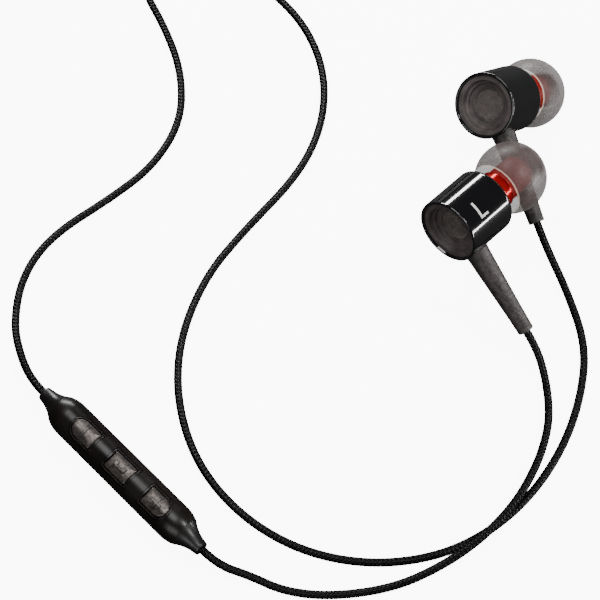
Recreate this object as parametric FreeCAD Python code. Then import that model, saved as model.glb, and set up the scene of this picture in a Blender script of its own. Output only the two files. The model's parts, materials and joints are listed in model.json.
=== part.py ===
"""Wired earphones: two earbuds, an inline remote, a Y splitter and a 3.5 mm plug, laid out on a table.

Lengths are in mm. The origin is on the table under the middle of the buds and the remote, and +Z is up.
Each bud is built with its axis along +X, from the back face towards the ear, and its stem along -Z.
The remote, the splitter and the plug are also built along +X. Each is then turned into its place.
"""

import FreeCAD, Part
import math
import os

V = FreeCAD.Vector
ORIGIN = V(0, 0, 0)
AXIS = V(1, 0, 0)

# --- where the pieces lie: position, then yaw, pitch (down) and roll in degrees ---
LEFT_BUD = ((24.3, 4.9, 20.45), (48.1, 11.5, -54.5))
RIGHT_BUD = ((31.8, 32.6, 17.94), (46.0, 39.2, -56))
REMOTE = ((-32.5, -33.0, 3.45), (-46.3, 0, 12))
SPLITTER = ((-19.0, 96.0, 2.4), (72, 0, 0))
PLUG = ((40.0, 94.8, 2.8), (-90, 0, 0))
COIL_CENTRE = (8.5, 110.0)

# --- earbud ---
BARREL_R = 6.1
BARREL_LENGTH = 11.6
BARREL_BORE_R = 5.4
SHOULDER = 1.0
FRONT_WALL = 1.2
NECK_R = 3.6
NECK_LENGTH = 2.7
STALK_R = 2.4
STALK_LENGTH = 3.6
RIB_R = 2.55
NOZZLE_BORE_R = 1.9
TIP_R = 6.5
TIP_CENTRE = 18.1
TIP_SKIRT = 13.9
TIP_APEX = 24.0
TIP_CORE_R = 3.2
TIP_BORE_R = 2.65
TIP_MOUTH_R = 1.95
STEM_X = 3.2
STEM_ROOT_R = 2.2
STEM_END_R = 1.5
STEM_LENGTH = 23.2
TENON_R = 1.4
TENON_TOP = 4.95
CAP_R = 4.8
DISH_LIP = 0.4
DISH_FLOOR = 2.0
VENT_R = 2.75
VENT_SEAT = 0.2

# --- driver, along the bud's axis ---
YOKE_BACK = 5.3
YOKE_R = 3.5
FRAME_BACK = 5.5
FRAME_FRONT = 9.1
FRAME_BORE_R = 4.7
MAGNET_BACK = 5.8
MAGNET_R = 2.2
PLATE_BACK = 7.4
PLATE_FRONT = 8.0
PLATE_R = 2.3
VOICE_COIL_R = (2.5, 2.8)
FILM = 0.1

# --- remote ---
REMOTE_R = 3.45
REMOTE_HALF = 16.3
REMOTE_WALL = 0.9
SHOULDER_LENGTH = 2.6
SHOULDER_R = 2.8
BOOT_ROOT_R = 2.75
BOOT_END_R = 1.4
BOOT_LENGTH = 4.2
BUTTON_PITCH = 9.3
BUTTON_OFFSET = 0.7
BUTTON_LENGTH = 5.2
BUTTON_WIDTH = 3.5
BUTTON_GAP = 0.12
BUTTON_RISE = 0.15
BUTTON_TRAVEL = 0.3
BUTTON_BOTTOM = 2.1
GROOVE = (0.45, 0.6)
GROOVE_DEPTH = 0.12
MARK_LENGTH = 2.2
MARK_WIDTH = 0.4
MARK_RISE = 0.12
SKIRT_WIDTH = 2.6
SKIRT_THICK = 0.4
BOARD = (26.0, 4.4, 0.8)
BOARD_TOP = 0.2
LEDGE_X = 11.5
MICROPHONE_X = 5.0
PUSHER_BOTTOM = 1.4
PUSHER_R = 0.6
PUSH_CLEARANCE = 0.15
SWITCH_SIDE = 2.6
SWITCH_HEIGHT = 0.5
SWITCH_DOME_R = 0.7
BOOT_BORE_R = 1.5
BOOT_FLANGE_R = 1.85

# --- cords ---
CORD_R = 0.75
LEAD_R = 1.0
ARC_SHARE = 0.45
COIL_LIFT = 0.6
COIL_INNER_R = 5.0
COIL_OUTER_R = 17.0
COIL_HEIGHT = 4.0
TIE_WIDTH = 5.0
TIE_TURN = 200

# --- splitter and plug ---
SPLITTER_R = 2.4
SPLITTER_LENGTH = 15.0
SPLITTER_BOOT = 7.0
BRANCH_SPREAD = 0.9
HANDLE_R = 2.8
HANDLE_LENGTH = 15.0
PLUG_BOOT = 9.0
PLUG_R = 1.75
PLUG_LENGTH = 14.0
COLLAR_R = 2.0
COLLAR_DEPTH = 2.0
CORE_R = 1.25
PIN_R = 0.6


# ---------- helpers ----------
def outline(start, *steps):
    """A closed edge loop in the XY plane. A step is a point, or an arc's middle and end points."""
    edges = []
    here = V(*start, 0)
    for step in list(steps) + [start]:
        if isinstance(step[0], tuple):
            middle, end = V(*step[0], 0), V(*step[1], 0)
            edges.append(Part.Arc(here, middle, end).toShape())
        else:
            end = V(*step, 0)
            if end.distanceToPoint(here) < 1e-6:
                continue
            edges.append(Part.LineSegment(here, end).toShape())
        here = end
    return Part.Wire(edges)


def turned(start, *steps):
    """A solid of revolution about X from an outline of (x, radius) points."""
    return Part.Face(outline(start, *steps)).revolve(ORIGIN, AXIS, 360)


def rod(r, x0, x1):
    return Part.makeCylinder(r, x1 - x0, V(x0, 0, 0), AXIS)


def tube(r_in, r_out, x0, x1):
    return rod(r_out, x0, x1).cut(rod(r_in, x0, x1))


def block(size, centre):
    """A box of the given size about a centre point."""
    corner = V(*centre) - V(*size) * 0.5
    return Part.makeBox(*size, corner)


def on_circle(x, centre, radius):
    """The radius at x of a sphere of the given centre and radius."""
    return math.sqrt(radius**2 - (x - centre) ** 2)


def placement(where):
    return FreeCAD.Placement(V(*where[0]), FreeCAD.Rotation(*where[1]))


def save(name, shape, where=None):
    """Turns a piece into its place and writes it to its own file."""
    piece = shape.copy()
    if where:
        piece.Placement = placement(where).multiply(piece.Placement)
    if not piece.isValid() or not piece.Solids:
        print("check the solid", name)
    piece.exportStep(f"parts/{name}.step")


# ---------- earbud ----------
def barrel():
    """Lacquered tube with a rounded back rim, a shouldered front wall and the stem's socket."""
    front = BARREL_LENGTH
    rim = 0.35
    inside = front - FRONT_WALL
    body = turned(
        (0, BARREL_BORE_R),
        (0, BARREL_R - rim),
        ((rim * 0.3, BARREL_R - rim * 0.3), (rim, BARREL_R)),
        (front - SHOULDER, BARREL_R),
        ((front - 0.35 * SHOULDER, BARREL_R - 0.25 * SHOULDER), (front, BARREL_R - SHOULDER)),
        (front, NECK_R),
        (inside, NECK_R),
        (inside, BARREL_BORE_R),
    )
    socket = Part.makeCylinder(TENON_R, BARREL_R, V(STEM_X, 0, 0), V(0, 0, -1))
    return body.cut(socket)


def rear_cap():
    """Dished cap pressed into the back of the barrel, with a seat for the vent mesh."""
    lip, floor, thick = DISH_LIP, DISH_FLOOR, 0.5
    return turned(
        (lip, BARREL_BORE_R),
        (lip, CAP_R - 0.1),
        ((lip + 0.1, 4.5), (lip + 0.35, 4.42)),
        (floor - 0.7, 4.3),
        ((floor - 0.2, 4.05), (floor, 3.5)),
        (floor, VENT_R),
        (floor + VENT_SEAT, VENT_R),
        (floor + VENT_SEAT, 0),
        (floor + thick, 0),
        (floor + thick, CAP_R - 0.7),
        (floor - 0.6, CAP_R),
        (lip + 0.8, CAP_R),
        (lip + 0.8, BARREL_BORE_R),
    )


def vent_mesh():
    return rod(VENT_R, DISH_FLOOR + 0.05, DISH_FLOOR + VENT_SEAT)


def bezel():
    """Thin ring standing in the dish between its wall and the vent mesh."""
    return tube(VENT_R + 0.2, VENT_R + 0.5, DISH_FLOOR - 0.15, DISH_FLOOR)


def nozzle():
    """Anodised nozzle: an inner flange, the neck that shows, and a ribbed hollow stalk for the eartip."""
    inside = BARREL_LENGTH - FRONT_WALL
    shoulder = BARREL_LENGTH + NECK_LENGTH
    end = shoulder + STALK_LENGTH
    return turned(
        (inside - 0.4, NOZZLE_BORE_R),
        (inside - 0.4, 4.4),
        (inside, 4.4),
        (inside, NECK_R),
        (shoulder, NECK_R),
        (shoulder, STALK_R),
        (end - 1.2, STALK_R),
        ((end - 0.7, RIB_R), (end - 0.2, STALK_R)),
        (end, STALK_R - 0.15),
        (end, NOZZLE_BORE_R),
    )


def nozzle_screen():
    end = BARREL_LENGTH + NECK_LENGTH + STALK_LENGTH
    return rod(NOZZLE_BORE_R, end - 0.5, end - 0.3)


def nozzle_damper():
    """Foam plug that tames the treble inside the nozzle."""
    return rod(NOZZLE_BORE_R, BARREL_LENGTH + 0.4, BARREL_LENGTH + 1.6)


def eartip():
    """Silicone tip: a hollow ball-shaped skirt joined at its front to a sleeve round the stalk."""
    wall = 0.5
    front = TIP_APEX
    sleeve_back = BARREL_LENGTH + NECK_LENGTH + 0.12
    step = BARREL_LENGTH + NECK_LENGTH + STALK_LENGTH + 0.6
    hollow_front = TIP_APEX - 2.1
    return turned(
        (TIP_SKIRT, on_circle(TIP_SKIRT, TIP_CENTRE, TIP_R)),
        ((TIP_CENTRE, TIP_R), (front - 0.3, on_circle(front - 0.3, TIP_CENTRE, TIP_R))),
        ((front, 2.35), (front - 0.3, TIP_MOUTH_R)),
        (step, TIP_MOUTH_R),
        (step, TIP_BORE_R),
        (sleeve_back, TIP_BORE_R),
        (sleeve_back, TIP_CORE_R),
        (hollow_front, TIP_CORE_R),
        (hollow_front + 0.5, 3.7),
        ((TIP_CENTRE, TIP_R - wall), (TIP_SKIRT + 0.05, 4.5)),
    )


def stem():
    """Rubber stem that tapers to the cord, seated on the barrel with a round tenon."""
    down = V(0, 0, -1)
    top = V(STEM_X, 0, -TENON_TOP)
    cone = Part.makeCone(STEM_ROOT_R, STEM_END_R, STEM_LENGTH - TENON_TOP, top, down)
    end_edge = [e for e in cone.Edges if abs(e.BoundBox.ZMax + STEM_LENGTH) < 1e-6]
    cone = cone.makeFillet(0.25, end_edge)
    seated = cone.cut(rod(BARREL_R, -1, BARREL_LENGTH))
    tenon = Part.makeCylinder(TENON_R, BARREL_R + 0.6 - TENON_TOP, top, down)
    return seated.fuse(tenon).removeSplitter()


def driver_frame():
    """Basket that carries the driver, open at the front and pierced for the yoke."""
    floor = FRAME_BACK + 0.5
    return turned(
        (FRAME_BACK, YOKE_R),
        (FRAME_BACK, BARREL_BORE_R),
        (FRAME_FRONT, BARREL_BORE_R),
        (FRAME_FRONT, FRAME_BORE_R),
        (floor, FRAME_BORE_R),
        (floor, YOKE_R),
    )


def driver_yoke():
    """Steel cup round the magnet."""
    inner = YOKE_R - 0.45
    return turned(
        (YOKE_BACK, 0),
        (YOKE_BACK, YOKE_R),
        (PLATE_FRONT, YOKE_R),
        (PLATE_FRONT, inner),
        (MAGNET_BACK, inner),
        (MAGNET_BACK, 0),
    )


def driver_magnet():
    return rod(MAGNET_R, MAGNET_BACK, PLATE_BACK)


def driver_top_plate():
    return rod(PLATE_R, PLATE_BACK, PLATE_FRONT)


def voice_coil():
    return tube(*VOICE_COIL_R, PLATE_BACK - 0.4, PLATE_FRONT + 0.5)


def diaphragm():
    """Thin film: a dome in the middle and a rolled surround at the rim."""
    rim, roll, top = PLATE_FRONT + 0.6, PLATE_FRONT + 1.0, PLATE_FRONT + 1.15
    inner, outer = VOICE_COIL_R
    return turned(
        (rim, FRAME_BORE_R),
        ((roll, 3.9), (rim, outer)),
        (rim, inner),
        ((top - 0.15, 1.4), (top, 0.3)),
        (top, 0),
        (top - FILM, 0),
        (top - FILM, 0.3),
        ((top - 0.15 - FILM, 1.4), (rim - FILM, inner)),
        (rim - FILM, outer),
        ((roll - FILM, 3.9), (rim - FILM, FRAME_BORE_R)),
    )


BUD_PIECES = {
    "barrel": barrel,
    "rear_cap": rear_cap,
    "vent_mesh": vent_mesh,
    "bezel": bezel,
    "nozzle": nozzle,
    "nozzle_screen": nozzle_screen,
    "nozzle_damper": nozzle_damper,
    "eartip": eartip,
    "stem": stem,
    "driver_frame": driver_frame,
    "driver_yoke": driver_yoke,
    "driver_magnet": driver_magnet,
    "driver_top_plate": driver_top_plate,
    "voice_coil": voice_coil,
    "diaphragm": diaphragm,
}


# ---------- remote ----------
def remote_hull(offset=0.0):
    """The remote's outer form, moved in by an offset: a cylinder with long rounded shoulders."""
    half = REMOTE_HALF - offset
    r = REMOTE_R - offset
    bend = half - SHOULDER_LENGTH
    end_r = SHOULDER_R - offset
    mid = (half - 0.45 * SHOULDER_LENGTH, r - 0.22)
    return turned(
        (-half, 0),
        (-half, end_r),
        ((-mid[0], mid[1]), (-bend, r)),
        (bend, r),
        (mid, (half, end_r)),
        (half, 0),
    )


def button_prism(kind, grow=0.0, z0=0.0, z1=8.0):
    """Upright prism of a button's outline: round at one end for minus and plus, square in the centre."""
    a, b = BUTTON_LENGTH / 2 + grow, BUTTON_WIDTH / 2 + grow
    if kind == "centre":
        shape = outline((-a, -b), (a, -b), (a, b), (-a, b))
    else:
        shape = outline((-a + b, -b), (a, -b), (a, b), (-a + b, b), ((-a, 0), (-a + b, -b)))
    prism = Part.Face(shape).extrude(V(0, 0, z1 - z0))
    prism.translate(V(0, 0, z0))
    if kind == "plus":
        prism.rotate(ORIGIN, V(0, 0, 1), 180)
    prism.translate(V(BUTTON_X[kind], 0, 0))
    return prism


BUTTON_X = {
    "minus": BUTTON_OFFSET - BUTTON_PITCH,
    "centre": BUTTON_OFFSET,
    "plus": BUTTON_OFFSET + BUTTON_PITCH,
}


def shell_half(upper):
    hollow = remote_hull().cut(remote_hull(REMOTE_WALL))
    bore = rod(BOOT_BORE_R, -REMOTE_HALF - 1, REMOTE_HALF + 1)
    height = REMOTE_R + 1
    z = height / 2 if upper else -height / 2
    return hollow.cut(bore).common(block((2 * REMOTE_HALF + 2, 2 * height, height), (0, 0, z)))


def remote_top():
    """Upper half of the housing, with an opening and a fine outline groove for each button."""
    top = shell_half(True)
    for kind in BUTTON_X:
        top = top.cut(button_prism(kind, BUTTON_GAP))
        ring = button_prism(kind, GROOVE[1]).cut(button_prism(kind, GROOVE[0]))
        top = top.cut(ring.cut(rod(REMOTE_R - GROOVE_DEPTH, -REMOTE_HALF, REMOTE_HALF)))
    return top


def remote_bottom():
    """Lower half of the housing, with the microphone's hole and two ledges that carry the board."""
    hole = Part.makeCylinder(0.4, REMOTE_R + 1, V(MICROPHONE_X, 0, 0), V(0, 0, -1))
    bottom = shell_half(False)
    board_under = BOARD_TOP - BOARD[2]
    for x in (-LEDGE_X, LEDGE_X):
        ledge = block((1.2, BOARD[1], REMOTE_R), (x, 0, board_under - REMOTE_R / 2))
        bottom = bottom.fuse(ledge.common(remote_hull(REMOTE_WALL / 2)))
    return bottom.cut(hole).removeSplitter()


def button_mark(kind):
    """A bar, a cross or a handset on a button's round top, as deep as the mark stands proud."""
    top = REMOTE_R + BUTTON_RISE + MARK_RISE

    def bar(length, width, x=0.0, y=0.0):
        return block((length, width, top), (BUTTON_X[kind] + x, y, top / 2))

    across = bar(MARK_WIDTH, MARK_LENGTH)
    along = bar(MARK_LENGTH, MARK_WIDTH)
    if kind == "minus":
        mark = across
    elif kind == "plus":
        mark = across.fuse(along)
    else:
        ends = [bar(0.7, 2 * MARK_WIDTH, x, 0.2) for x in (-MARK_LENGTH / 2, MARK_LENGTH / 2)]
        mark = along.fuse(ends)
    return mark.common(tube(REMOTE_R, top, -REMOTE_HALF, REMOTE_HALF))


def button(kind):
    """Key cap that follows the housing's round top, with a skirt inside that keeps it in."""
    crown = rod(REMOTE_R + BUTTON_RISE, -REMOTE_HALF, REMOTE_HALF)
    cap = button_prism(kind, 0, BUTTON_BOTTOM).common(crown)
    if kind == "centre":
        cap = cap.cut(button_mark(kind))
    else:
        cap = cap.fuse(button_mark(kind))
    x = BUTTON_X[kind]
    skirt_bottom = BUTTON_BOTTOM - SKIRT_THICK
    skirt_size = (BUTTON_LENGTH + 0.6, SKIRT_WIDTH, SKIRT_THICK)
    skirt = block(skirt_size, (x, 0, skirt_bottom + SKIRT_THICK / 2))
    pusher = Part.makeCylinder(PUSHER_R, skirt_bottom - PUSHER_BOTTOM + 0.1, V(x, 0, PUSHER_BOTTOM))
    return cap.fuse([skirt, pusher]).removeSplitter()


def board():
    length, width, thick = BOARD
    return block((length, width, thick), (0, 0, BOARD_TOP - thick / 2))


def switches():
    """Three tact switches on the board, one under each button."""
    dome_top = PUSHER_BOTTOM - BUTTON_TRAVEL - PUSH_CLEARANCE
    parts = []
    for x in BUTTON_X.values():
        case = block((SWITCH_SIDE, SWITCH_SIDE, SWITCH_HEIGHT), (x, 0, BOARD_TOP + SWITCH_HEIGHT / 2))
        dome = Part.makeCylinder(SWITCH_DOME_R, dome_top - BOARD_TOP, V(x, 0, BOARD_TOP))
        parts.append(case.fuse(dome))
    return Part.makeCompound(parts)


def microphone():
    return Part.makeCylinder(1.3, 1.2, V(MICROPHONE_X, 0, BOARD_TOP - BOARD[2]), V(0, 0, -1))


def boot():
    """Flared end of the remote, built from the housing outwards, with a flange inside the housing."""
    inner = -REMOTE_WALL - 0.5
    return turned(
        (inner, CORD_R),
        (inner, BOOT_FLANGE_R),
        (-REMOTE_WALL, BOOT_FLANGE_R),
        (-REMOTE_WALL, BOOT_BORE_R),
        (0, BOOT_BORE_R),
        (0, BOOT_ROOT_R),
        ((0.42 * BOOT_LENGTH, 1.85), (BOOT_LENGTH - 0.3, BOOT_END_R - 0.02)),
        (BOOT_LENGTH, BOOT_END_R - 0.1),
        (BOOT_LENGTH, 0),
        (BOOT_LENGTH - 0.4, 0),
        (BOOT_LENGTH - 0.4, CORD_R),
    )


def lower_boot():
    piece = boot()
    piece.translate(V(REMOTE_HALF, 0, 0))
    return piece


def upper_boot():
    piece = boot()
    piece.translate(V(REMOTE_HALF, 0, 0))
    piece.rotate(ORIGIN, V(0, 0, 1), 180)
    return piece


# ---------- splitter ----------
def splitter_sleeve():
    """Sleeve where the two branch cords join the lead."""
    end = SPLITTER_LENGTH
    body = turned(
        (0, 0),
        (0, 2.0),
        ((0.15, 2.25), (0.5, SPLITTER_R)),
        (end - 0.5, SPLITTER_R),
        ((end - 0.15, 2.25), (end, 2.0)),
        (end, 0),
    )
    for side in (-BRANCH_SPREAD, BRANCH_SPREAD):
        body = body.cut(Part.makeCylinder(CORD_R, 2, V(0, side, 0), AXIS))
    return body


def splitter_boot():
    """Soft taper from the sleeve down to the lead."""
    end = SPLITTER_LENGTH + SPLITTER_BOOT
    return turned(
        (SPLITTER_LENGTH, 0),
        (SPLITTER_LENGTH, 1.9),
        ((SPLITTER_LENGTH + 2.5, 1.5), (end, 1.25)),
        (end, 0),
    )


# ---------- plug ----------
def plug_boot():
    """Strain relief behind the handle, with three relief grooves."""
    back = -HANDLE_LENGTH
    body = turned((back, 0), (back, 2.2), (back - PLUG_BOOT, 1.3), (back - PLUG_BOOT, 0))
    for n in range(3):
        x = back - 2.2 - 2.1 * n
        body = body.cut(tube(1.35, 3, x - 0.7, x))
    return body


def plug_handle():
    back = -HANDLE_LENGTH
    return turned(
        (back, 0),
        (back, HANDLE_R - 0.5),
        ((back + 0.15, HANDLE_R - 0.15), (back + 0.5, HANDLE_R)),
        (-1.2, HANDLE_R),
        ((-0.35, HANDLE_R - 0.25), (0, HANDLE_R - 0.7)),
        (0, COLLAR_R),
        (-COLLAR_DEPTH, COLLAR_R),
        (-COLLAR_DEPTH, 0),
    )


RING = 1.9
FLANGE = 0.5
SLEEVE_END = 5.3
RING_STARTS = [SLEEVE_END + FLANGE, SLEEVE_END + 2 * FLANGE + RING]
TIP_START = SLEEVE_END + 3 * FLANGE + 2 * RING


def plug_sleeve():
    """Sleeve contact with a wider collar moulded into the handle."""
    collar = tube(CORE_R, COLLAR_R, -COLLAR_DEPTH, 0)
    return collar.fuse(tube(CORE_R, PLUG_R, 0, SLEEVE_END)).removeSplitter()


def plug_ring(index):
    start = RING_STARTS[index]
    return tube(CORE_R, PLUG_R, start, start + RING)


def plug_insulator():
    """Moulded core with a flange before each contact ring and before the tip."""
    core = rod(CORE_R, -COLLAR_DEPTH, TIP_START)
    for start in [SLEEVE_END] + [s + RING for s in RING_STARTS]:
        core = core.fuse(rod(PLUG_R, start, start + FLANGE))
    return core.cut(rod(PIN_R, -COLLAR_DEPTH, TIP_START)).removeSplitter()


def plug_tip():
    """Tip contact: a pin through the core, a waist and a rounded cone."""
    start = TIP_START
    waist = start + 1.3
    return turned(
        (-COLLAR_DEPTH, 0),
        (-COLLAR_DEPTH, PIN_R),
        (start, PIN_R),
        (start, PLUG_R),
        (start + 0.6, PLUG_R),
        (waist, 1.25),
        (waist + 0.7, 1.62),
        (PLUG_LENGTH - 0.6, 0.75),
        ((PLUG_LENGTH - 0.15, 0.5), (PLUG_LENGTH, 0.25)),
        (PLUG_LENGTH, 0),
    )


# ---------- cords ----------
# From the left bud's stem, over the right cord, to the remote's lower boot.
LEFT_CORD_UPPER = [
    (40.77, -9.9, 4.33),
    (42.3, -15.2, 1.9),
    (42.7, -20.8, 0.75),
    (41.8, -25.9, 1.5),
    (39.7, -32.0, 2.7),
    (35.8, -39.0, 2.7),
    (30.1, -45.2, 2.7),
    (23.5, -50.0, 2.2),
    (15.0, -53.7, 0.75),
    (4.5, -55.4, 0.75),
    (-4.0, -54.6, 0.8),
    (-10.2, -52.0, 1.9),
    (-15.57, -50.71, 3.45),
]

# From the remote's upper boot to the splitter.
LEFT_CORD_LOWER = [
    (-49.08, -15.65, 3.45),
    (-51.6, -9.6, 1.6),
    (-53.2, -2.8, 0.75),
    (-52.2, 6.8, 0.75),
    (-47.3, 15.3, 0.75),
    (-35.7, 24.0, 0.75),
    (-28.7, 30.6, 0.75),
    (-23.9, 40.2, 0.75),
    (-24.1, 51.2, 0.75),
    (-27.5, 61.3, 0.75),
    (-32.0, 70.3, 0.75),
    (-32.4, 79.0, 0.75),
    (-28.0, 85.6, 1.2),
    (-21.71, 90.57, 2.4),
]

# From the right bud's stem, round the big loop, to the splitter.
RIGHT_CORD = [
    (43.42, 10.97, 3.7),
    (46.9, 3.9, 1.1),
    (49.9, -7.2, 0.75),
    (48.5, -17.5, 0.75),
    (44.8, -27.6, 0.75),
    (38.6, -37.0, 0.75),
    (30.7, -44.0, 0.75),
    (21.3, -48.4, 0.75),
    (9.7, -49.6, 0.75),
    (-2.0, -46.9, 0.75),
    (-12.2, -40.2, 0.75),
    (-19.7, -30.5, 0.75),
    (-23.4, -18.5, 0.75),
    (-23.2, -6.0, 0.75),
    (-18.8, 6.6, 0.75),
    (-12.1, 16.0, 0.75),
    (-1.7, 28.4, 0.75),
    (2.8, 39.4, 0.75),
    (3.3, 51.0, 0.75),
    (-0.5, 62.1, 0.75),
    (-8.0, 71.0, 0.75),
    (-15.8, 77.6, 0.75),
    (-20.6, 83.5, 1.4),
    (-19.54, 91.44, 2.4),
]

# From the splitter's boot round to the coil.
LEAD_IN = [
    (-10.66, 121.68, 2.4),
    (-6.8, 125.2, 1.4),
    (1.2, 126.4, 1.0),
]

# From the coil to the plug's boot.
LEAD_OUT = [
    (16.0, 126.3, 2.8),
    (28.5, 129.2, 1.0),
    (35.3, 130.0, 1.0),
    (40.0, 125.3, 2.8),
]


def route_edges(points):
    """Straight runs joined by tangent arcs, each as wide as 0.45 of the shorter run beside it allows."""
    pts = [V(*p) for p in points]
    edges, radii = [], []
    here = pts[0]
    for before, corner, after in zip(pts, pts[1:], pts[2:]):
        back, on = before - corner, after - corner
        cut = ARC_SHARE * min(back.Length, on.Length)
        half_turn = (math.pi - back.getAngle(on)) / 2
        radius = cut / math.tan(half_turn)
        a = corner + back.normalize() * cut
        b = corner + on.normalize() * cut
        bisector = (a + b) * 0.5 - corner
        depth = radius / math.cos(half_turn) - radius
        middle = corner + bisector.normalize() * depth
        edges.append(Part.LineSegment(here, a).toShape())
        edges.append(Part.Arc(a, middle, b).toShape())
        radii.append(radius)
        here = b
    edges.append(Part.LineSegment(here, pts[-1]).toShape())
    return edges, radii


def cord(name, points, r):
    """A round cord along a route. It prints its bend radii and checks its volume."""
    edges, radii = route_edges(points)
    path = Part.Wire(edges)
    start = V(*points[0])
    along = V(*points[1]) - start
    section = Part.Wire(Part.Circle(start, along, r).toShape())
    solid = path.makePipeShell([section], True, False)
    wanted = math.pi * r**2 * path.Length
    shortest = min(radii)
    ratio = solid.Volume / wanted
    print(f"{name}: length {path.Length:.1f}, least radius {shortest:.1f}, volume ratio {ratio:.4f}")
    print("   radii", [round(v, 1) for v in radii])
    return solid


def coil_ring():
    """Outer shape of the lead's coil."""
    soft = 0.9
    low, high = COIL_LIFT, COIL_LIFT + COIL_HEIGHT
    ring = Part.makeCylinder(COIL_OUTER_R, high - low, V(*COIL_CENTRE, low))
    ring = ring.cut(Part.makeCylinder(COIL_INNER_R, high - low, V(*COIL_CENTRE, low)))
    round_edges = [e for e in ring.Edges if e.Closed]
    return ring.makeFillet(soft, round_edges)


def coil_tie():
    """Band round one side of the coil."""
    inner, outer = COIL_INNER_R - COIL_LIFT, COIL_OUTER_R + COIL_LIFT
    height = COIL_HEIGHT + 2 * COIL_LIFT
    middle = V(*COIL_CENTRE, 0)
    band = block((outer - inner, TIE_WIDTH, height), ((inner + outer) / 2, 0, height / 2))
    band.translate(middle)
    band.rotate(middle, V(0, 0, 1), TIE_TURN)
    return band.cut(coil_ring())


def bud_stem_end(where):
    return placement(where).multVec(V(STEM_X, 0, -STEM_LENGTH))


def remote_end(side):
    return placement(REMOTE).multVec(V(side * (REMOTE_HALF + BOOT_LENGTH), 0, 0))


def splitter_port(side):
    return placement(SPLITTER).multVec(V(2, side * BRANCH_SPREAD, 0))


def cords():
    """The cords that lie on the table, from fitting to fitting, and the coil of the put-away lead."""
    left_stem, right_stem = bud_stem_end(LEFT_BUD), bud_stem_end(RIGHT_BUD)
    lower, upper = remote_end(1), remote_end(-1)
    boot_end = placement(SPLITTER).multVec(V(SPLITTER_LENGTH + SPLITTER_BOOT, 0, 0))
    plug_end = placement(PLUG).multVec(V(-HANDLE_LENGTH - PLUG_BOOT, 0, 0))
    outer_turn = COIL_OUTER_R - LEAD_R
    cx, cy = COIL_CENTRE
    coil_in = (cx, cy + outer_turn, COIL_LIFT + LEAD_R)
    coil_out = (cx, cy + outer_turn, COIL_LIFT + 3 * LEAD_R)
    routes = {
        "left_cord_upper": [left_stem, *LEFT_CORD_UPPER, lower],
        "left_cord_lower": [upper, *LEFT_CORD_LOWER, splitter_port(1)],
        "right_cord": [right_stem, *RIGHT_CORD, splitter_port(-1)],
    }
    leads = {
        "lead_in": [boot_end, *LEAD_IN, coil_in],
        "lead_out": [coil_out, *LEAD_OUT, plug_end],
    }
    shapes = {name: cord(name, points, CORD_R) for name, points in routes.items()}
    shapes.update({name: cord(name, points, LEAD_R) for name, points in leads.items()})
    return shapes


# ---------- assembly ----------
def main():
    os.makedirs("parts", exist_ok=True)
    for side, where in (("left", LEFT_BUD), ("right", RIGHT_BUD)):
        for name, make in BUD_PIECES.items():
            save(f"{side}_{name}", make(), where)
    for kind in BUTTON_X:
        save(f"remote_button_{kind}", button(kind), REMOTE)
    save("remote_top_housing", remote_top(), REMOTE)
    save("remote_bottom_housing", remote_bottom(), REMOTE)
    save("remote_board", board(), REMOTE)
    save("remote_switches", switches(), REMOTE)
    save("remote_microphone", microphone(), REMOTE)
    save("remote_lower_boot", lower_boot(), REMOTE)
    save("remote_upper_boot", upper_boot(), REMOTE)
    save("splitter_sleeve", splitter_sleeve(), SPLITTER)
    save("splitter_boot", splitter_boot(), SPLITTER)
    save("plug_boot", plug_boot(), PLUG)
    save("plug_handle", plug_handle(), PLUG)
    save("plug_sleeve_contact", plug_sleeve(), PLUG)
    save("plug_ring_contact_1", plug_ring(0), PLUG)
    save("plug_ring_contact_2", plug_ring(1), PLUG)
    save("plug_insulator", plug_insulator(), PLUG)
    save("plug_tip_contact", plug_tip(), PLUG)
    for name, shape in cords().items():
        save(name, shape)
    save("lead_coil", coil_ring())
    save("coil_tie", coil_tie())


main()
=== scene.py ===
"""Wired earphones laid out on a table, in metres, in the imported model's frame."""

import json
import math

import bmesh
import bpy
from mathutils import Euler, Matrix, Vector


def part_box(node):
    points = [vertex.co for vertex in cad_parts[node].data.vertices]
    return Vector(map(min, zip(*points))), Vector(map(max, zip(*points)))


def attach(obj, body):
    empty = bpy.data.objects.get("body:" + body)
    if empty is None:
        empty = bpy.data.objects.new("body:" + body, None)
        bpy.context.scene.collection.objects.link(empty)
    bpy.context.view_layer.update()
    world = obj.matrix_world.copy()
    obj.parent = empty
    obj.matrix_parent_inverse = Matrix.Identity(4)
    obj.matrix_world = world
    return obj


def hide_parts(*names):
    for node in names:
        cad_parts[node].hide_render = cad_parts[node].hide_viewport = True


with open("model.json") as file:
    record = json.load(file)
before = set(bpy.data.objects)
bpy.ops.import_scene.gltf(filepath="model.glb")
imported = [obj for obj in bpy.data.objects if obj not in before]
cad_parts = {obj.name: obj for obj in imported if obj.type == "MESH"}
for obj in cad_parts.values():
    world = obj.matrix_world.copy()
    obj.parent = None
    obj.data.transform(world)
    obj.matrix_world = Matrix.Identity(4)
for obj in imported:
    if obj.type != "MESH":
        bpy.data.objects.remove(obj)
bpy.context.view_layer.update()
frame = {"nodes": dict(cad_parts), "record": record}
nodes = frame["nodes"]
MM = 0.001

# --- where the pieces lie, in mm: position, then yaw, pitch (down) and roll in degrees ---
LEFT_BUD = ((24.3, 4.9, 20.45), (48.1, 11.5, -54.5))
RIGHT_BUD = ((31.8, 32.6, 17.94), (46.0, 39.2, -56))
REMOTE = ((-32.5, -33.0, 3.45), (-46.3, 0, 12))
COIL_CENTRE = (8.5, 110.0)
STEM_X = 3.2
STEM_LENGTH = 23.2
REMOTE_HALF = 20.5
# how far each side mark is turned round its barrel, in degrees
LEFT_MARK = -82
RIGHT_MARK = 60
CORD_D = 1.5
LEAD_D = 2.0


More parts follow.
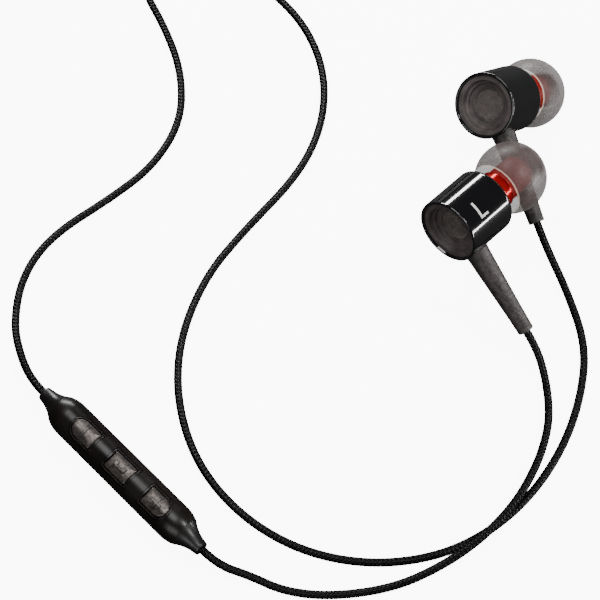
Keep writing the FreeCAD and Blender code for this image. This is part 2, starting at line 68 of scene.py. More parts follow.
def placed(where):
    """The matrix that takes a piece from its own mm to its place in metres."""
    x, y, z = (v * MM for v in where[0])
    yaw, pitch, roll = (math.radians(v) for v in where[1])
    turn = Euler((roll, pitch, yaw), "XYZ").to_matrix().to_4x4()
    return Matrix.Translation((x, y, z)) @ turn @ Matrix.Scale(MM, 4)


# --- camera ---
VIEW_ELEVATION = math.radians(62)
VIEW_DISTANCE = 0.450
SENSOR_WIDTH = 36
LENS = 148.5
AIM = Vector((-0.0015, 0.0023, 0.0))
back = Vector((0, -math.cos(VIEW_ELEVATION), math.sin(VIEW_ELEVATION)))
camera = bpy.data.objects.new("camera", bpy.data.cameras.new("camera"))
bpy.context.collection.objects.link(camera)
camera.location = AIM + back * VIEW_DISTANCE
camera.rotation_euler = back.to_track_quat("Z", "Y").to_euler()
camera.data.sensor_width = SENSOR_WIDTH
camera.data.lens = LENS
camera.data.clip_start = 0.02
bpy.context.scene.camera = camera


# --- node helpers ---
def add(tree, kind, settings=None, **links):
    """Adds a node. Settings go on the node; links are input name or index to a value or a socket."""
    node = tree.nodes.new(kind)
    for name, value in (settings or {}).items():
        setattr(node, name, value)
    for name, value in links.items():
        key = int(name[1:]) if name[0] == "i" and name[1:].isdigit() else name.replace("_", " ")
        socket = node.inputs[key]
        if isinstance(value, bpy.types.NodeSocket):
            tree.links.new(value, socket)
        else:
            socket.default_value = value
    return node


def hexed(code):
    """An sRGB hex colour as linear RGBA."""
    parts = [int(code[i : i + 2], 16) / 255 for i in (1, 3, 5)]
    return tuple(p / 12.92 if p <= 0.04045 else ((p + 0.055) / 1.055) ** 2.4 for p in parts) + (1.0,)


# --- cords ---
LEFT_CORD_UPPER = [
    (40.77, -9.9, 4.33),
    (42.3, -15.2, 1.9),
    (42.7, -20.8, 0.75),
    (41.8, -25.9, 1.5),
    (39.7, -32.0, 2.7),
    (35.8, -39.0, 2.7),
    (30.1, -45.2, 2.7),
    (23.5, -50.0, 2.2),
    (15.0, -53.7, 0.75),
    (4.5, -55.4, 0.75),
    (-4.0, -54.6, 0.8),
    (-10.2, -52.0, 1.9),
    (-15.57, -50.71, 3.45),
]
LEFT_CORD_LOWER = [
    (-49.08, -15.65, 3.45),
    (-51.6, -9.6, 1.6),
    (-53.2, -2.8, 0.75),
    (-52.2, 6.8, 0.75),
    (-47.3, 15.3, 0.75),
    (-35.7, 24.0, 0.75),
    (-28.7, 30.6, 0.75),
    (-23.9, 40.2, 0.75),
    (-24.1, 51.2, 0.75),
    (-27.5, 61.3, 0.75),
    (-32.0, 70.3, 0.75),
    (-32.4, 79.0, 0.75),
    (-28.0, 85.6, 1.2),
    (-21.71, 90.57, 2.4),
]
RIGHT_CORD = [
    (43.42, 10.97, 3.7),
    (46.9, 3.9, 1.1),
    (49.9, -7.2, 0.75),
    (48.5, -17.5, 0.75),
    (44.8, -27.6, 0.75),
    (38.6, -37.0, 0.75),
    (30.7, -44.0, 0.75),
    (21.3, -48.4, 0.75),
    (9.7, -49.6, 0.75),
    (-2.0, -46.9, 0.75),
    (-12.2, -40.2, 0.75),
    (-19.7, -30.5, 0.75),
    (-23.4, -18.5, 0.75),
    (-23.2, -6.0, 0.75),
    (-18.8, 6.6, 0.75),
    (-12.1, 16.0, 0.75),
    (-1.7, 28.4, 0.75),
    (2.8, 39.4, 0.75),
    (3.3, 51.0, 0.75),
    (-0.5, 62.1, 0.75),
    (-8.0, 71.0, 0.75),
    (-15.8, 77.6, 0.75),
    (-20.6, 83.5, 1.4),
    (-19.54, 91.44, 2.4),
]
LEAD_IN = [(-10.66, 121.68, 2.4), (-6.8, 125.2, 1.4), (1.2, 126.4, 1.0)]
LEAD_OUT = [(16.0, 126.3, 2.8), (28.5, 129.2, 1.0), (35.3, 130.0, 1.0), (40.0, 125.3, 2.8)]
PORTS = [(-19.24, 98.18, 2.4), (-17.53, 97.62, 2.4)]
LEAD_START = (-12.2, 116.92, 2.4)
PLUG_END = (40.0, 118.8, 2.8)
COIL_RADII = [16, 14, 12, 10, 8, 6]
COIL_Z = (1.6, 3.6)
STEPS = 24


def stem_end(where):
    """Where a bud's cord leaves its stem, in mm."""
    return tuple(placed(where) @ Vector((STEM_X, 0, -STEM_LENGTH)) / MM)


def remote_end(side):
    """Where a cord enters the remote's boot on one side, in mm."""
    return tuple(placed(REMOTE) @ Vector((side * REMOTE_HALF, 0, 0)) / MM)


def coil_points():
    """Two flat layers of turns: in along the lower one, up, and out along the upper one."""
    last = len(COIL_RADII) - 1
    points = []
    for layer in (0, 1):
        radii = COIL_RADII if layer == 0 else COIL_RADII[::-1]
        for turn, r in enumerate(radii):
            following = radii[min(turn + 1, last)]
            for step in range(STEPS):
                part = step / STEPS
                # a turn moves to the next radius over its last sixth
                # the innermost turn climbs over its last third
                shift = max(0.0, (part - 5 / 6) * 6)
                climb = max(0.0, (part - 2 / 3) * 3) if layer == 0 and turn == last else 0.0
                radius = r + (following - r) * shift
                angle = math.radians(90) - 2 * math.pi * part
                points.append(
                    (
                        COIL_CENTRE[0] + radius * math.cos(angle),
                        COIL_CENTRE[1] + radius * math.sin(angle),
                        COIL_Z[layer] + climb * (COIL_Z[1] - COIL_Z[0]),
                    )
                )
    points.append((COIL_CENTRE[0], COIL_CENTRE[1] + COIL_RADII[0], COIL_Z[1]))
    return points


def centreline(points):
    """A cord's smooth line for these control points: a mesh of edges, and its points in metres."""
    curve = bpy.data.curves.new("route", "CURVE")
    curve.dimensions = "3D"
    spline = curve.splines.new("NURBS")
    spline.points.add(len(points) - 1)
    for point, place in zip(spline.points, points):
        point.co = (*(v * MM for v in place), 1)
    spline.order_u = 3
    spline.use_endpoint_u = True
    curve.resolution_u = 12
    route = bpy.data.objects.new("route", curve)
    bpy.context.collection.objects.link(route)
    mesh = bpy.data.meshes.new_from_object(route)
    bpy.data.objects.remove(route)
    return mesh, [tuple(v.co) for v in mesh.vertices]


def socket_ids(tree):
    """The identifier of each of a tree's inputs, by its name."""
    return {s.name: s.identifier for s in tree.interface.items_tree if s.in_out == "INPUT"}


def grown(name, tree, base, values):
    """A plain mesh object made by a Geometry Nodes tree from a base mesh."""
    seed = bpy.data.objects.new("seed", base)
    bpy.context.collection.objects.link(seed)
    modifier = seed.modifiers.new("grow", "NODES")
    modifier.node_group = tree
    ids = socket_ids(tree)
    for key, value in values.items():
        modifier[ids[key]] = value
    seed.update_tag()
    evaluated = seed.evaluated_get(bpy.context.evaluated_depsgraph_get())
    mesh = bpy.data.meshes.new_from_object(evaluated)
    seed.modifiers.clear()
    bpy.data.objects.remove(seed)
    mesh.name = name
    piece = bpy.data.objects.new(name, mesh)
    bpy.context.collection.objects.link(piece)
    return piece


def new_tree(name, inputs):
    """A Geometry Nodes tree with these inputs after the geometry. Returns the tree and its input sockets."""
    tree = bpy.data.node_groups.new(name, "GeometryNodeTree")
    tree.interface.new_socket("Geometry", in_out="OUTPUT", socket_type="NodeSocketGeometry")
    tree.interface.new_socket("Geometry", in_out="INPUT", socket_type="NodeSocketGeometry")
    for label, kind in inputs:
        tree.interface.new_socket(label, in_out="INPUT", socket_type="NodeSocket" + kind)
    return tree, tree.nodes.new("NodeGroupInput").outputs


def math_in(tree):
    """Short forms for the sums of a tree: a number sum and a vector sum."""

    def num(op, a, b=0.0):
        return add(tree, "ShaderNodeMath", {"operation": op}, i0=a, i1=b).outputs[0]

    def vec(op, a, b=None, scale=None):
        node = add(tree, "ShaderNodeVectorMath", {"operation": op}, i0=a)
        if b is not None:
            tree.links.new(b, node.inputs[1])
        if scale is not None:
            tree.links.new(scale, node.inputs["Scale"])
        return node.outputs[0]

    return num, vec


# the braid's parts as shares of the cord's radius
YARN_MIDDLE = 0.855
YARN_SWING = 0.065
YARN_THICK = 0.15
CORE_SHARE = 0.82


def swept(tree, line, section):
    """A section swept along a line, with closed ends."""
    return add(tree, "GeometryNodeCurveToMesh", Curve=line, Profile_Curve=section, Fill_Caps=True).outputs[0]


def painted_whole(tree, parts, material):
    """Ends a tree: joins the parts, shades them smooth and gives them the material."""
    both = add(tree, "GeometryNodeJoinGeometry", i0=parts[0])
    tree.links.new(parts[1], both.inputs[0])
    whole = add(tree, "GeometryNodeRealizeInstances", i0=both.outputs[0])
    smooth = add(tree, "GeometryNodeSetShadeSmooth", i0=whole.outputs[0])
    painted = add(tree, "GeometryNodeSetMaterial", Geometry=smooth.outputs[0], Material=material)
    tree.links.new(painted.outputs[0], tree.nodes.new("NodeGroupOutput").inputs[0])
    return tree


def braid_tree():
    """A braided sleeve over a round core: two sets of yarns wind opposite ways, two over and two under."""
    sizes = [(label, "Float") for label in ("Radius", "Pitch")] + [("Each way", "Int")]
    sizes += [(label, "Float") for label in ("Step", "Yarn")]
    tree, given = new_tree("braid", sizes + [("Material", "Material")])
    num, vec = math_in(tree)
    line = add(tree, "GeometryNodeMeshToCurve", i0=given["Geometry"])
    by_length = {"mode": "LENGTH"}
    fine = add(tree, "GeometryNodeResampleCurve", by_length, Curve=line.outputs[0], Length=given["Step"])
    amount = num("MULTIPLY", given["Each way"], 2.0)
    per_spline = {"domain": "SPLINE"}
    copies = add(tree, "GeometryNodeDuplicateElements", per_spline, Geometry=fine.outputs[0], Amount=amount)
    index = copies.outputs["Duplicate Index"]
    back_way = num("GREATER_THAN", num("ADD", index, 0.5), given["Each way"])
    way = num("SUBTRACT", 1.0, num("MULTIPLY", back_way, 2.0))
    number = num("MODULO", index, given["Each way"])
    along = num("DIVIDE", add(tree, "GeometryNodeSplineParameter").outputs["Length"], given["Pitch"])
    turns = num("ADD", num("DIVIDE", number, given["Each way"]), num("MULTIPLY", way, along))
    angle = num("MULTIPLY", turns, 2 * math.pi)
    crossing = num("MULTIPLY", num("MULTIPLY", along, given["Each way"]), 2.0)
    phase = num("ADD", num("MULTIPLY", number, 2.0), num("MULTIPLY", way, crossing))
    wave = num("MULTIPLY", way, num("COSINE", num("MULTIPLY", num("SUBTRACT", phase, 0.5), math.pi / 2)))
    tangent = add(tree, "GeometryNodeInputTangent").outputs[0]
    normal = add(tree, "GeometryNodeInputNormal").outputs[0]
    side = vec("CROSS_PRODUCT", tangent, normal)
    over = vec("SCALE", normal, scale=num("COSINE", angle))
    outward = vec("ADD", over, vec("SCALE", side, scale=num("SINE", angle)))
    kept = add(tree, "GeometryNodeCaptureAttribute", {"domain": "POINT"}, Geometry=copies.outputs[0])
    kept.capture_items.new("VECTOR", "outward")
    tree.links.new(outward, kept.inputs["outward"])
    swing = num("MULTIPLY", given["Radius"], YARN_SWING)
    middle = num("MULTIPLY", given["Radius"], YARN_MIDDLE)
    reach = num("ADD", middle, num("MULTIPLY", swing, wave))
    offset = vec("SCALE", kept.outputs["outward"], scale=reach)
    moved = add(tree, "GeometryNodeSetPosition", Geometry=kept.outputs[0], Offset=offset)
    faced = add(tree, "GeometryNodeSetCurveNormal", {"mode": "FREE"}, Curve=moved.outputs[0])
    tree.links.new(kept.outputs["outward"], faced.inputs["Normal"])
    # the profile's width lies along the cord's radius
    thick = num("MULTIPLY", given["Radius"], YARN_THICK)
    flat = {"mode": "RECTANGLE"}
    section = add(tree, "GeometryNodeCurvePrimitiveQuadrilateral", flat, Width=thick, Height=given["Yarn"])
    per_yarn = {"data_type": "FLOAT", "domain": "CURVE"}
    shade = add(tree, "GeometryNodeStoreNamedAttribute", per_yarn, Geometry=faced.outputs[0], Name="yarn")
    tint = add(tree, "FunctionNodeRandomValue", {"data_type": "FLOAT"}, Seed=7)
    tree.links.new(index, tint.inputs["ID"])
    tree.links.new(tint.outputs[1], shade.inputs["Value"])
    yarns = swept(tree, shade.outputs[0], section.outputs[0])
    stride = num("MULTIPLY", given["Step"], 3.0)
    coarse = add(tree, "GeometryNodeResampleCurve", by_length, Curve=line.outputs[0], Length=stride)
    core_r = num("MULTIPLY", given["Radius"], CORE_SHARE)
    ring = add(tree, "GeometryNodeCurvePrimitiveCircle", Resolution=12, Radius=core_r)
    core = swept(tree, coarse.outputs[0], ring.outputs[0])
    return painted_whole(tree, (core, yarns), given["Material"])


# --- materials ---
# where the eartip's sleeve starts and ends along its outline, each as two fading points, in mm
SLEEVE_RUN = ((15.5, 17.5), (28.5, 30.5))
# where the skirt's wall ends along that outline, and its alpha
SKIRT_RUN = (11.0, 12.0)
SKIRT_ALPHA = 0.71
# the distance between the turned rings in the rear dish, in mm
RING_SPACING = 0.16


def shader(name, **values):
    """A material whose Principled shader has these constant values. Returns it, its tree and the shader."""
    made = bpy.data.materials.new(name)
    made.use_nodes = True
    tree = made.node_tree
    surface = tree.nodes["Principled BSDF"]
    for label, value in values.items():
        surface.inputs[label.replace("_", " ")].default_value = value
    return made, tree, surface


def place_of(tree, uv=False):
    """Where the surface point is: on the object, or in the UV of a turned piece."""
    return add(tree, "ShaderNodeTexCoord").outputs["UV" if uv else "Object"]


def noise(tree, size_mm, detail=4.0, rough=0.55):
    """Noise whose features are about size_mm across."""
    scale = 0.6 / (size_mm * MM)
    made = add(tree, "ShaderNodeTexNoise", Vector=place_of(tree), Scale=scale, Detail=detail, Roughness=rough)
    return made.outputs[0]


def spread(tree, value, low, high, to_low=0.0, to_high=1.0):
    """A value mapped from one range to another and clamped."""
    return add(tree, "ShaderNodeMapRange", i0=value, i1=low, i2=high, i3=to_low, i4=to_high).outputs[0]


def tinted(tree, surface, amount, low, high):
    """Base colour between two hex colours."""
    mix = add(tree, "ShaderNodeMix", {"data_type": "RGBA"}, i0=amount)
    mix.inputs[6].default_value = hexed(low)
    mix.inputs[7].default_value = hexed(high)
    tree.links.new(mix.outputs[2], surface.inputs["Base Color"])


def rough_over(tree, surface, value, smoothest, roughest, low=0.3, high=0.7):
    """Roughness that follows a value between two limits."""
    tree.links.new(spread(tree, value, low, high, smoothest, roughest), surface.inputs["Roughness"])


def raised(tree, surface, height, depth_mm, label="Normal"):
    """Relief of a given depth."""
    bump = add(tree, "ShaderNodeBump", Height=height, Distance=depth_mm * MM, Strength=1.0)
    tree.links.new(bump.outputs[0], surface.inputs[label])


def textured(name, low, high, grain_mm, depth_mm, rough, mottle_mm=2.0, rough_swing=0.08, **values):
    """Moulded or cast surface: a fine grain in relief, a slow change of tone, and uneven gloss."""
    made, tree, surface = shader(name, **values)
    grain = noise(tree, grain_mm, 3.0)
    tone = noise(tree, mottle_mm, 5.0)
    tinted(tree, surface, spread(tree, tone, 0.32, 0.68), low, high)
    worn = noise(tree, mottle_mm * 2.3, 3.0)
    rough_over(tree, surface, worn, rough - rough_swing, rough + rough_swing)
    raised(tree, surface, grain, depth_mm)
    return made


def lacquer():
    """Piano-black lacquer on turned aluminium: deep gloss, faint orange peel and handling marks."""
    values = {"Base_Color": hexed("#0b0b0d"), "Coat_Weight": 1.0, "Coat_Roughness": 0.06}
    made, tree, surface = shader("black_lacquer_gloss", **values)
    handled = noise(tree, 3.0, 6.0)
    rough_over(tree, surface, handled, 0.08, 0.12, 0.35)
    peel = noise(tree, 0.9, 1.0)
    raised(tree, surface, peel, 0.0004)
    raised(tree, surface, peel, 0.0003, label="Coat Normal")
    return made


def dish():
    """Matte charcoal moulding with fine turned rings; its UV runs along the turned outline in mm."""
    made, tree, surface = shader("charcoal_moulding_matte")
    split = add(tree, "ShaderNodeSeparateXYZ", i0=place_of(tree, True))
    per_mm = 2 * math.pi / RING_SPACING
    wave = add(tree, "ShaderNodeMath", {"operation": "MULTIPLY"}, i0=split.outputs[1], i1=per_mm)
    rings = add(tree, "ShaderNodeMath", {"operation": "SINE"}, i0=wave.outputs[0])
    grain = noise(tree, 0.09, 3.0)
    both = add(tree, "ShaderNodeMath", {"operation": "MULTIPLY_ADD"}, i0=rings.outputs[0], i1=0.25, i2=grain)
    raised(tree, surface, both.outputs[0], 0.012)
    tinted(tree, surface, spread(tree, noise(tree, 1.3, 5.0), 0.3, 0.7), "#3d3736", "#5a5251")
    rough_over(tree, surface, grain, 0.42, 0.62)
    return made


def anodised(name, colour, rough):
    """Clear-anodised aluminium, turned: faint lathe lines along its UV in mm."""
    values = {"Base_Color": hexed(colour), "Metallic": 0.65, "Coat_Weight": 0.7, "Coat_Roughness": 0.06}
    made, tree, surface = shader(name, **values)
    lines = add(tree, "ShaderNodeMapping", Vector=place_of(tree, True), Scale=(0.4, 14.0, 1.0)).outputs[0]
    turned = add(tree, "ShaderNodeTexNoise", Vector=lines, Scale=1.0, Detail=3.0).outputs[0]
    raised(tree, surface, turned, 0.004)
    rough_over(tree, surface, turned, rough - 0.05, rough + 0.07)
    return made


def silicone():
    """Smoky translucent silicone, with a painted red glow over the sleeve and a painted highlight along the
    lip. Its UV runs along the outline in mm: lip, skirt, mouth, sleeve, inside.
    """
    made, tree, surface = shader("smoky_silicone_translucent", IOR=1.41, Sheen_Weight=0.15)
    run = add(tree, "ShaderNodeSeparateXYZ", i0=place_of(tree, True)).outputs[1]
    haze = noise(tree, 1.6, 5.0)
    smoke = add(tree, "ShaderNodeMix", {"data_type": "RGBA"}, i0=spread(tree, haze, 0.3, 0.7))
    smoke.inputs[6].default_value = hexed("#433937")
    smoke.inputs[7].default_value = hexed("#605351")
    # painted glow: the sleeve is painted red for the light that the red stalk inside it sends through the
    # silicone
    start = spread(tree, run, *SLEEVE_RUN[0])
    stop = spread(tree, run, *SLEEVE_RUN[1], 1.0, 0.0)
    sleeve = add(tree, "ShaderNodeMath", {"operation": "MULTIPLY"}, i0=start, i1=stop).outputs[0]
    stalk_glow_painted = add(tree, "ShaderNodeMix", {"data_type": "RGBA"}, i0=sleeve, i6=smoke.outputs[2])
    stalk_glow_painted.inputs[7].default_value = hexed("#c8241c")
    # the skirt's wall lets light through, and the sleeve is backed by the stalk
    clear = spread(tree, run, *SLEEVE_RUN[1], 1.0, 0.0)
    wall = spread(tree, run, *SKIRT_RUN, SKIRT_ALPHA, 1.0)
    solid = add(tree, "ShaderNodeMath", {"operation": "MULTIPLY"}, i0=wall, i1=clear).outputs[0]
    tree.links.new(solid, surface.inputs["Alpha"])
    # painted highlight: the cut lip of the skirt is painted pale, as the thin line of light that its edge
    # catches
    lip = spread(tree, run, 0.12, 0.3, 1.0, 0.0)
    pale = add(tree, "ShaderNodeMix", {"data_type": "RGBA"}, i0=lip, i6=stalk_glow_painted.outputs[2])
    # the painted highlight's colour along the lip
    pale.inputs[7].default_value = hexed("#f0dcc8")
    tree.links.new(pale.outputs[2], surface.inputs["Base Color"])
    rough_over(tree, surface, noise(tree, 0.5, 4.0), 0.36, 0.50)
    raised(tree, surface, noise(tree, 0.25, 2.0), 0.002)
    return made


def braid(name, dark, light):
    """Satin nylon yarn, twisted from fine filaments, with a few yarns a shade lighter."""
    made, tree, surface = shader(name, Coat_Weight=0.05, Coat_Roughness=0.2, Specular_IOR_Level=0.13)
    yarn = add(tree, "ShaderNodeAttribute", {"attribute_name": "yarn"}).outputs["Fac"]
    worn = add(tree, "ShaderNodeMath", {"operation": "MULTIPLY"}, i0=yarn, i1=noise(tree, 0.5, 3.0))
    tinted(tree, surface, spread(tree, worn.outputs[0], 0.1, 0.55), dark, light)
    filament = noise(tree, 0.05, 2.0)
    rough_over(tree, surface, filament, 0.22, 0.42)
    raised(tree, surface, filament, 0.006)
    return made


def metal(name, colour, rough, grain_mm=0.3, scratch=0.06):
    """Plated or bare metal with fine scratches and a slight change of gloss."""
    made, tree, surface = shader(name, Metallic=1.0)
    wear = noise(tree, grain_mm, 6.0, 0.65)
    tinted(tree, surface, spread(tree, wear, 0.25, 0.75), colour[0], colour[1])
    rough_over(tree, surface, wear, rough - scratch, rough + scratch)
    raised(tree, surface, wear, 0.002)
    return made


def laminate():
    """Green solder mask with copper tracks showing through as slightly raised lines."""
    made, tree, surface = shader("solder_mask_green", Coat_Weight=0.3)
    edges = {"feature": "DISTANCE_TO_EDGE"}
    tracks = add(tree, "ShaderNodeTexVoronoi", edges, Vector=place_of(tree), Scale=900.0)
    line = spread(tree, tracks.outputs[0], 0.02, 0.09)
    tinted(tree, surface, line, "#2f8a4a", "#0d4526")
    raised(tree, surface, line, 0.02)
    surface.inputs["Roughness"].default_value = 0.35
    return made


def hook_tape():
    """Woven hook-and-loop tape with a napped face."""
    made, tree, surface = shader("black_hook_and_loop_tape", Sheen_Weight=0.5, Roughness=0.9)
    nap = noise(tree, 0.18, 4.0)
    tinted(tree, surface, spread(tree, nap, 0.3, 0.7), "#121212", "#2c2b2b")
    raised(tree, surface, nap, 0.12)
    return made


LACQUER = lacquer()
FINISHES = {
    "barrel_lacquer": LACQUER,
    "cap_charcoal": dish(),
    # darkened stainless steel mesh, satin
    "vent_mesh": metal("dark_steel_mesh_satin", ("#7a7371", "#aaa29f"), 0.42),
    "nozzle_red": anodised("red_anodised_aluminium_gloss", "#d8170f", 0.17),
    # stainless steel mesh, satin
    "screen_steel": metal("stainless_mesh_satin", ("#8b8b8c", "#b9b9ba"), 0.3),
    # open-cell damping foam
    "damper_foam": textured("damping_foam_open_cell", "#b8b6a8", "#dbd9cc", 0.25, 0.2, 0.9),
    "eartip_silicone": silicone(),
    # spark-textured thermoplastic rubber, dark grey
    "stem_rubber": textured("dark_grey_rubber_spark_textured", "#1e1a1a", "#423c3a", 0.2, 0.08, 0.5, 0.5),
    # moulded black plastic, satin
    "driver_plastic": textured("black_plastic_satin", "#101010", "#1b1b1b", 0.2, 0.01, 0.45),
    # zinc-plated steel, bright
    "driver_steel": metal("zinc_plated_steel_bright", ("#9a9ca0", "#c0c2c6"), 0.25),
    # nickel-plated magnet, bright
    "magnet_nickel": metal("nickel_plate_bright", ("#a5a29a", "#c4c1b9"), 0.18),
    # enamelled copper wire, gloss
    "coil_copper": metal("enamelled_copper_gloss", ("#9c4a22", "#c86a38"), 0.25),
    # clear polymer film, gloss
    "diaphragm_film": textured(
        "polymer_film_gloss", "#8d8a83", "#a9a69f", 0.3, 0.01, 0.2, Transmission_Weight=0.3
    ),
    # metallic charcoal paint, satin and mottled
    "button_charcoal": textured(
        "metallic_charcoal_paint_satin", "#3a3634", "#625c59", 0.14, 0.012, 0.34, 0.3, Metallic=0.8
    ),
    # moulded black-brown plastic, satin
    "remote_housing": textured(
        "black_brown_plastic_satin", "#0a0605", "#130e0c", 0.35, 0.006, 0.33, 3.0,
        Coat_Weight=0.05, Coat_Roughness=0.2, Specular_IOR_Level=0.32,
    ),
    # moulded black-brown rubber, satin
    "remote_boot": textured(
        "black_brown_rubber_satin", "#090606", "#110e0d", 0.25, 0.01, 0.34, 2.0,
        Coat_Weight=0.1, Coat_Roughness=0.25, Specular_IOR_Level=0.45,
    ),
    "board_laminate": laminate(),
    # pressed steel, satin
    "switch_steel": metal("pressed_steel_satin", ("#8f9092", "#b4b5b7"), 0.32),
    "microphone_can": metal("nickel_silver_can_satin", ("#9b968a", "#bdb8ab"), 0.3),
    # moulded black plastic, gloss
    "lead_housing": textured(
        "black_plastic_gloss", "#0c0c0d", "#161617", 0.4, 0.004, 0.18, 3.0, Coat_Weight=0.6
    ),
    # black rubber, matte
    "lead_rubber": textured("black_rubber_matte", "#141313", "#232121", 0.2, 0.02, 0.6),
    # gold-plated brass, polished
    "plug_contact": metal("gold_plated_brass_polished", ("#c99a3c", "#e6c064"), 0.14),
    # moulded black insulator, satin
    "plug_insulator": textured("black_insulator_satin", "#0e0e0e", "#191919", 0.2, 0.01, 0.4),
    "tie_fabric": hook_tape(),
    "cord_braid": braid("black_nylon_braid_satin", "#020202", "#0c0c0d"),
}
# pad-printed ink, matte pale grey
INK = textured("pale_grey_ink_matte", "#c9c9c6", "#e4e4e1", 0.1, 0.006, 0.5)


PAPER_GLOW = 9.0
PAPER_GLOW_BEHIND = 0.9


def light_table():
    """White paper that glows evenly towards the camera and is dark to every other ray."""
    made, tree, surface = shader("white_paper_matte", Roughness=0.85)
    paths = add(tree, "ShaderNodeLightPath")
    direct = paths.outputs["Is Camera Ray"]
    tinted(tree, surface, direct, "#1e1d1d", "#f4f4f3")
    surface.inputs["Emission Color"].default_value = (1, 1, 1, 1)
    # behind the translucent eartips the paper shows only faintly
    level = spread(tree, paths.outputs["Transparent Depth"], 0.0, 1.0, PAPER_GLOW, PAPER_GLOW_BEHIND)
    glow = add(tree, "ShaderNodeMath", {"operation": "MULTIPLY"}, i0=direct, i1=level).outputs[0]
    tree.links.new(glow, surface.inputs["Emission Strength"])
    return made


FLOOR = light_table()

for row in frame["record"]["subparts"]:
    material = FINISHES[row["material_slot"]]
    for held in nodes[row["node"]].material_slots:
        held.material = material


# --- mesh helpers ---
def rounded(points, parts=6):
    """An outline with soft corners from (x, radius, softness) points, and a support point by each arc."""
    out = []
    count = len(points)
    for i, point in enumerate(points):
        here = Vector(point[:2])
        soft = point[2] if len(point) > 2 else 0.0
        if not soft:
            out.append(tuple(here))
            continue
        before, after = Vector(points[i - 1][:2]) - here, Vector(points[(i + 1) % count][:2]) - here
        a, b = here + before.normalized() * soft, here + after.normalized() * soft
        extra = min(0.5 * soft, 0.08)
        if before.length > 2.2 * (soft + extra):
            out.append(tuple(here + before.normalized() * (soft + extra)))
        for k in range(parts + 1):
            t = k / parts
            out.append(tuple(a * (1 - t) ** 2 + here * 2 * t * (1 - t) + b * t * t))
        if after.length > 2.2 * (soft + extra):
            out.append(tuple(here + after.normalized() * (soft + extra)))
    return out


def finished(name, bm, where, material, sharp=35.0):
    """A piece at the origin from a mesh in its own mm, smooth but for edges over the sharp angle."""
    bmesh.ops.recalc_face_normals(bm, faces=bm.faces)
    mesh = bpy.data.meshes.new(name)
    bm.transform(placed(where) if where else Matrix.Scale(MM, 4))
    bm.to_mesh(mesh)
    bm.free()
    mesh.shade_smooth()
    mesh.set_sharp_from_angle(angle=math.radians(sharp))
    mesh.materials.append(material)
    piece = bpy.data.objects.new(name, mesh)
    bpy.context.collection.objects.link(piece)
    return piece


def turn_outline(bm, outline, turns=160):
    """Adds the solid that a closed (x, radius) outline sweeps about X. UV: turn, and mm along it."""
    uv = bm.loops.layers.uv.verify()
    angles = [2 * math.pi * k / turns for k in range(turns)]
    rings = []
    for x, r in outline:
        if r < 1e-6:
            rings.append([bm.verts.new((x, 0, 0))])
        else:
            rings.append([bm.verts.new((x, r * math.sin(a), r * math.cos(a))) for a in angles])
    run = [0.0]
    for p, q in zip(outline, outline[1:] + outline[:1]):
        run.append(run[-1] + math.dist(p, q))
    for i in range(len(outline)):
        a, b = rings[i], rings[(i + 1) % len(outline)]
        if len(a) == 1 and len(b) == 1:
            continue
        for k in range(turns):
            n = (k + 1) % turns
            corners = [(a[0] if len(a) == 1 else a[k], k, i), (b[0] if len(b) == 1 else b[k], k, i + 1)]
            if len(b) > 1:
                corners.append((b[n], k + 1, i + 1))
            if len(a) > 1:
                corners.append((a[n], k + 1, i))
            face = bm.faces.new([c[0] for c in corners])
            for loop, (_, turn, level) in zip(face.loops, corners):
                loop[uv].uv = (turn / turns * 10, run[level])


def lathe(name, outline, where, material, turns=160, sharp=35.0):
    """A turned piece from its closed outline."""
    bm = bmesh.new()
    turn_outline(bm, outline, turns)
    return finished(name, bm, where, material, sharp)


def arc_points(x0, x1, centre, radius, parts):
    """Points of a circle about (centre, 0) from x0 to x1."""
    a0, a1 = math.acos((x0 - centre) / radius), math.acos((x1 - centre) / radius)
    angles = [a0 + (a1 - a0) * k / parts for k in range(parts + 1)]
    return [(centre + radius * math.cos(a), radius * math.sin(a)) for a in angles]


# --- earbuds ---
BARREL_LENGTH = 11.6
TIP_CENTRE = 18.1
WIRE_D = 0.075
# the side marks' size, the radius that they lie at and how thick the ink is, in mm
INK_SIZE, INK_R, INK_THICK = 4.8, 6.108, 0.02
# how far the marks' middle is from the barrel's rear end
INK_X = 4.2


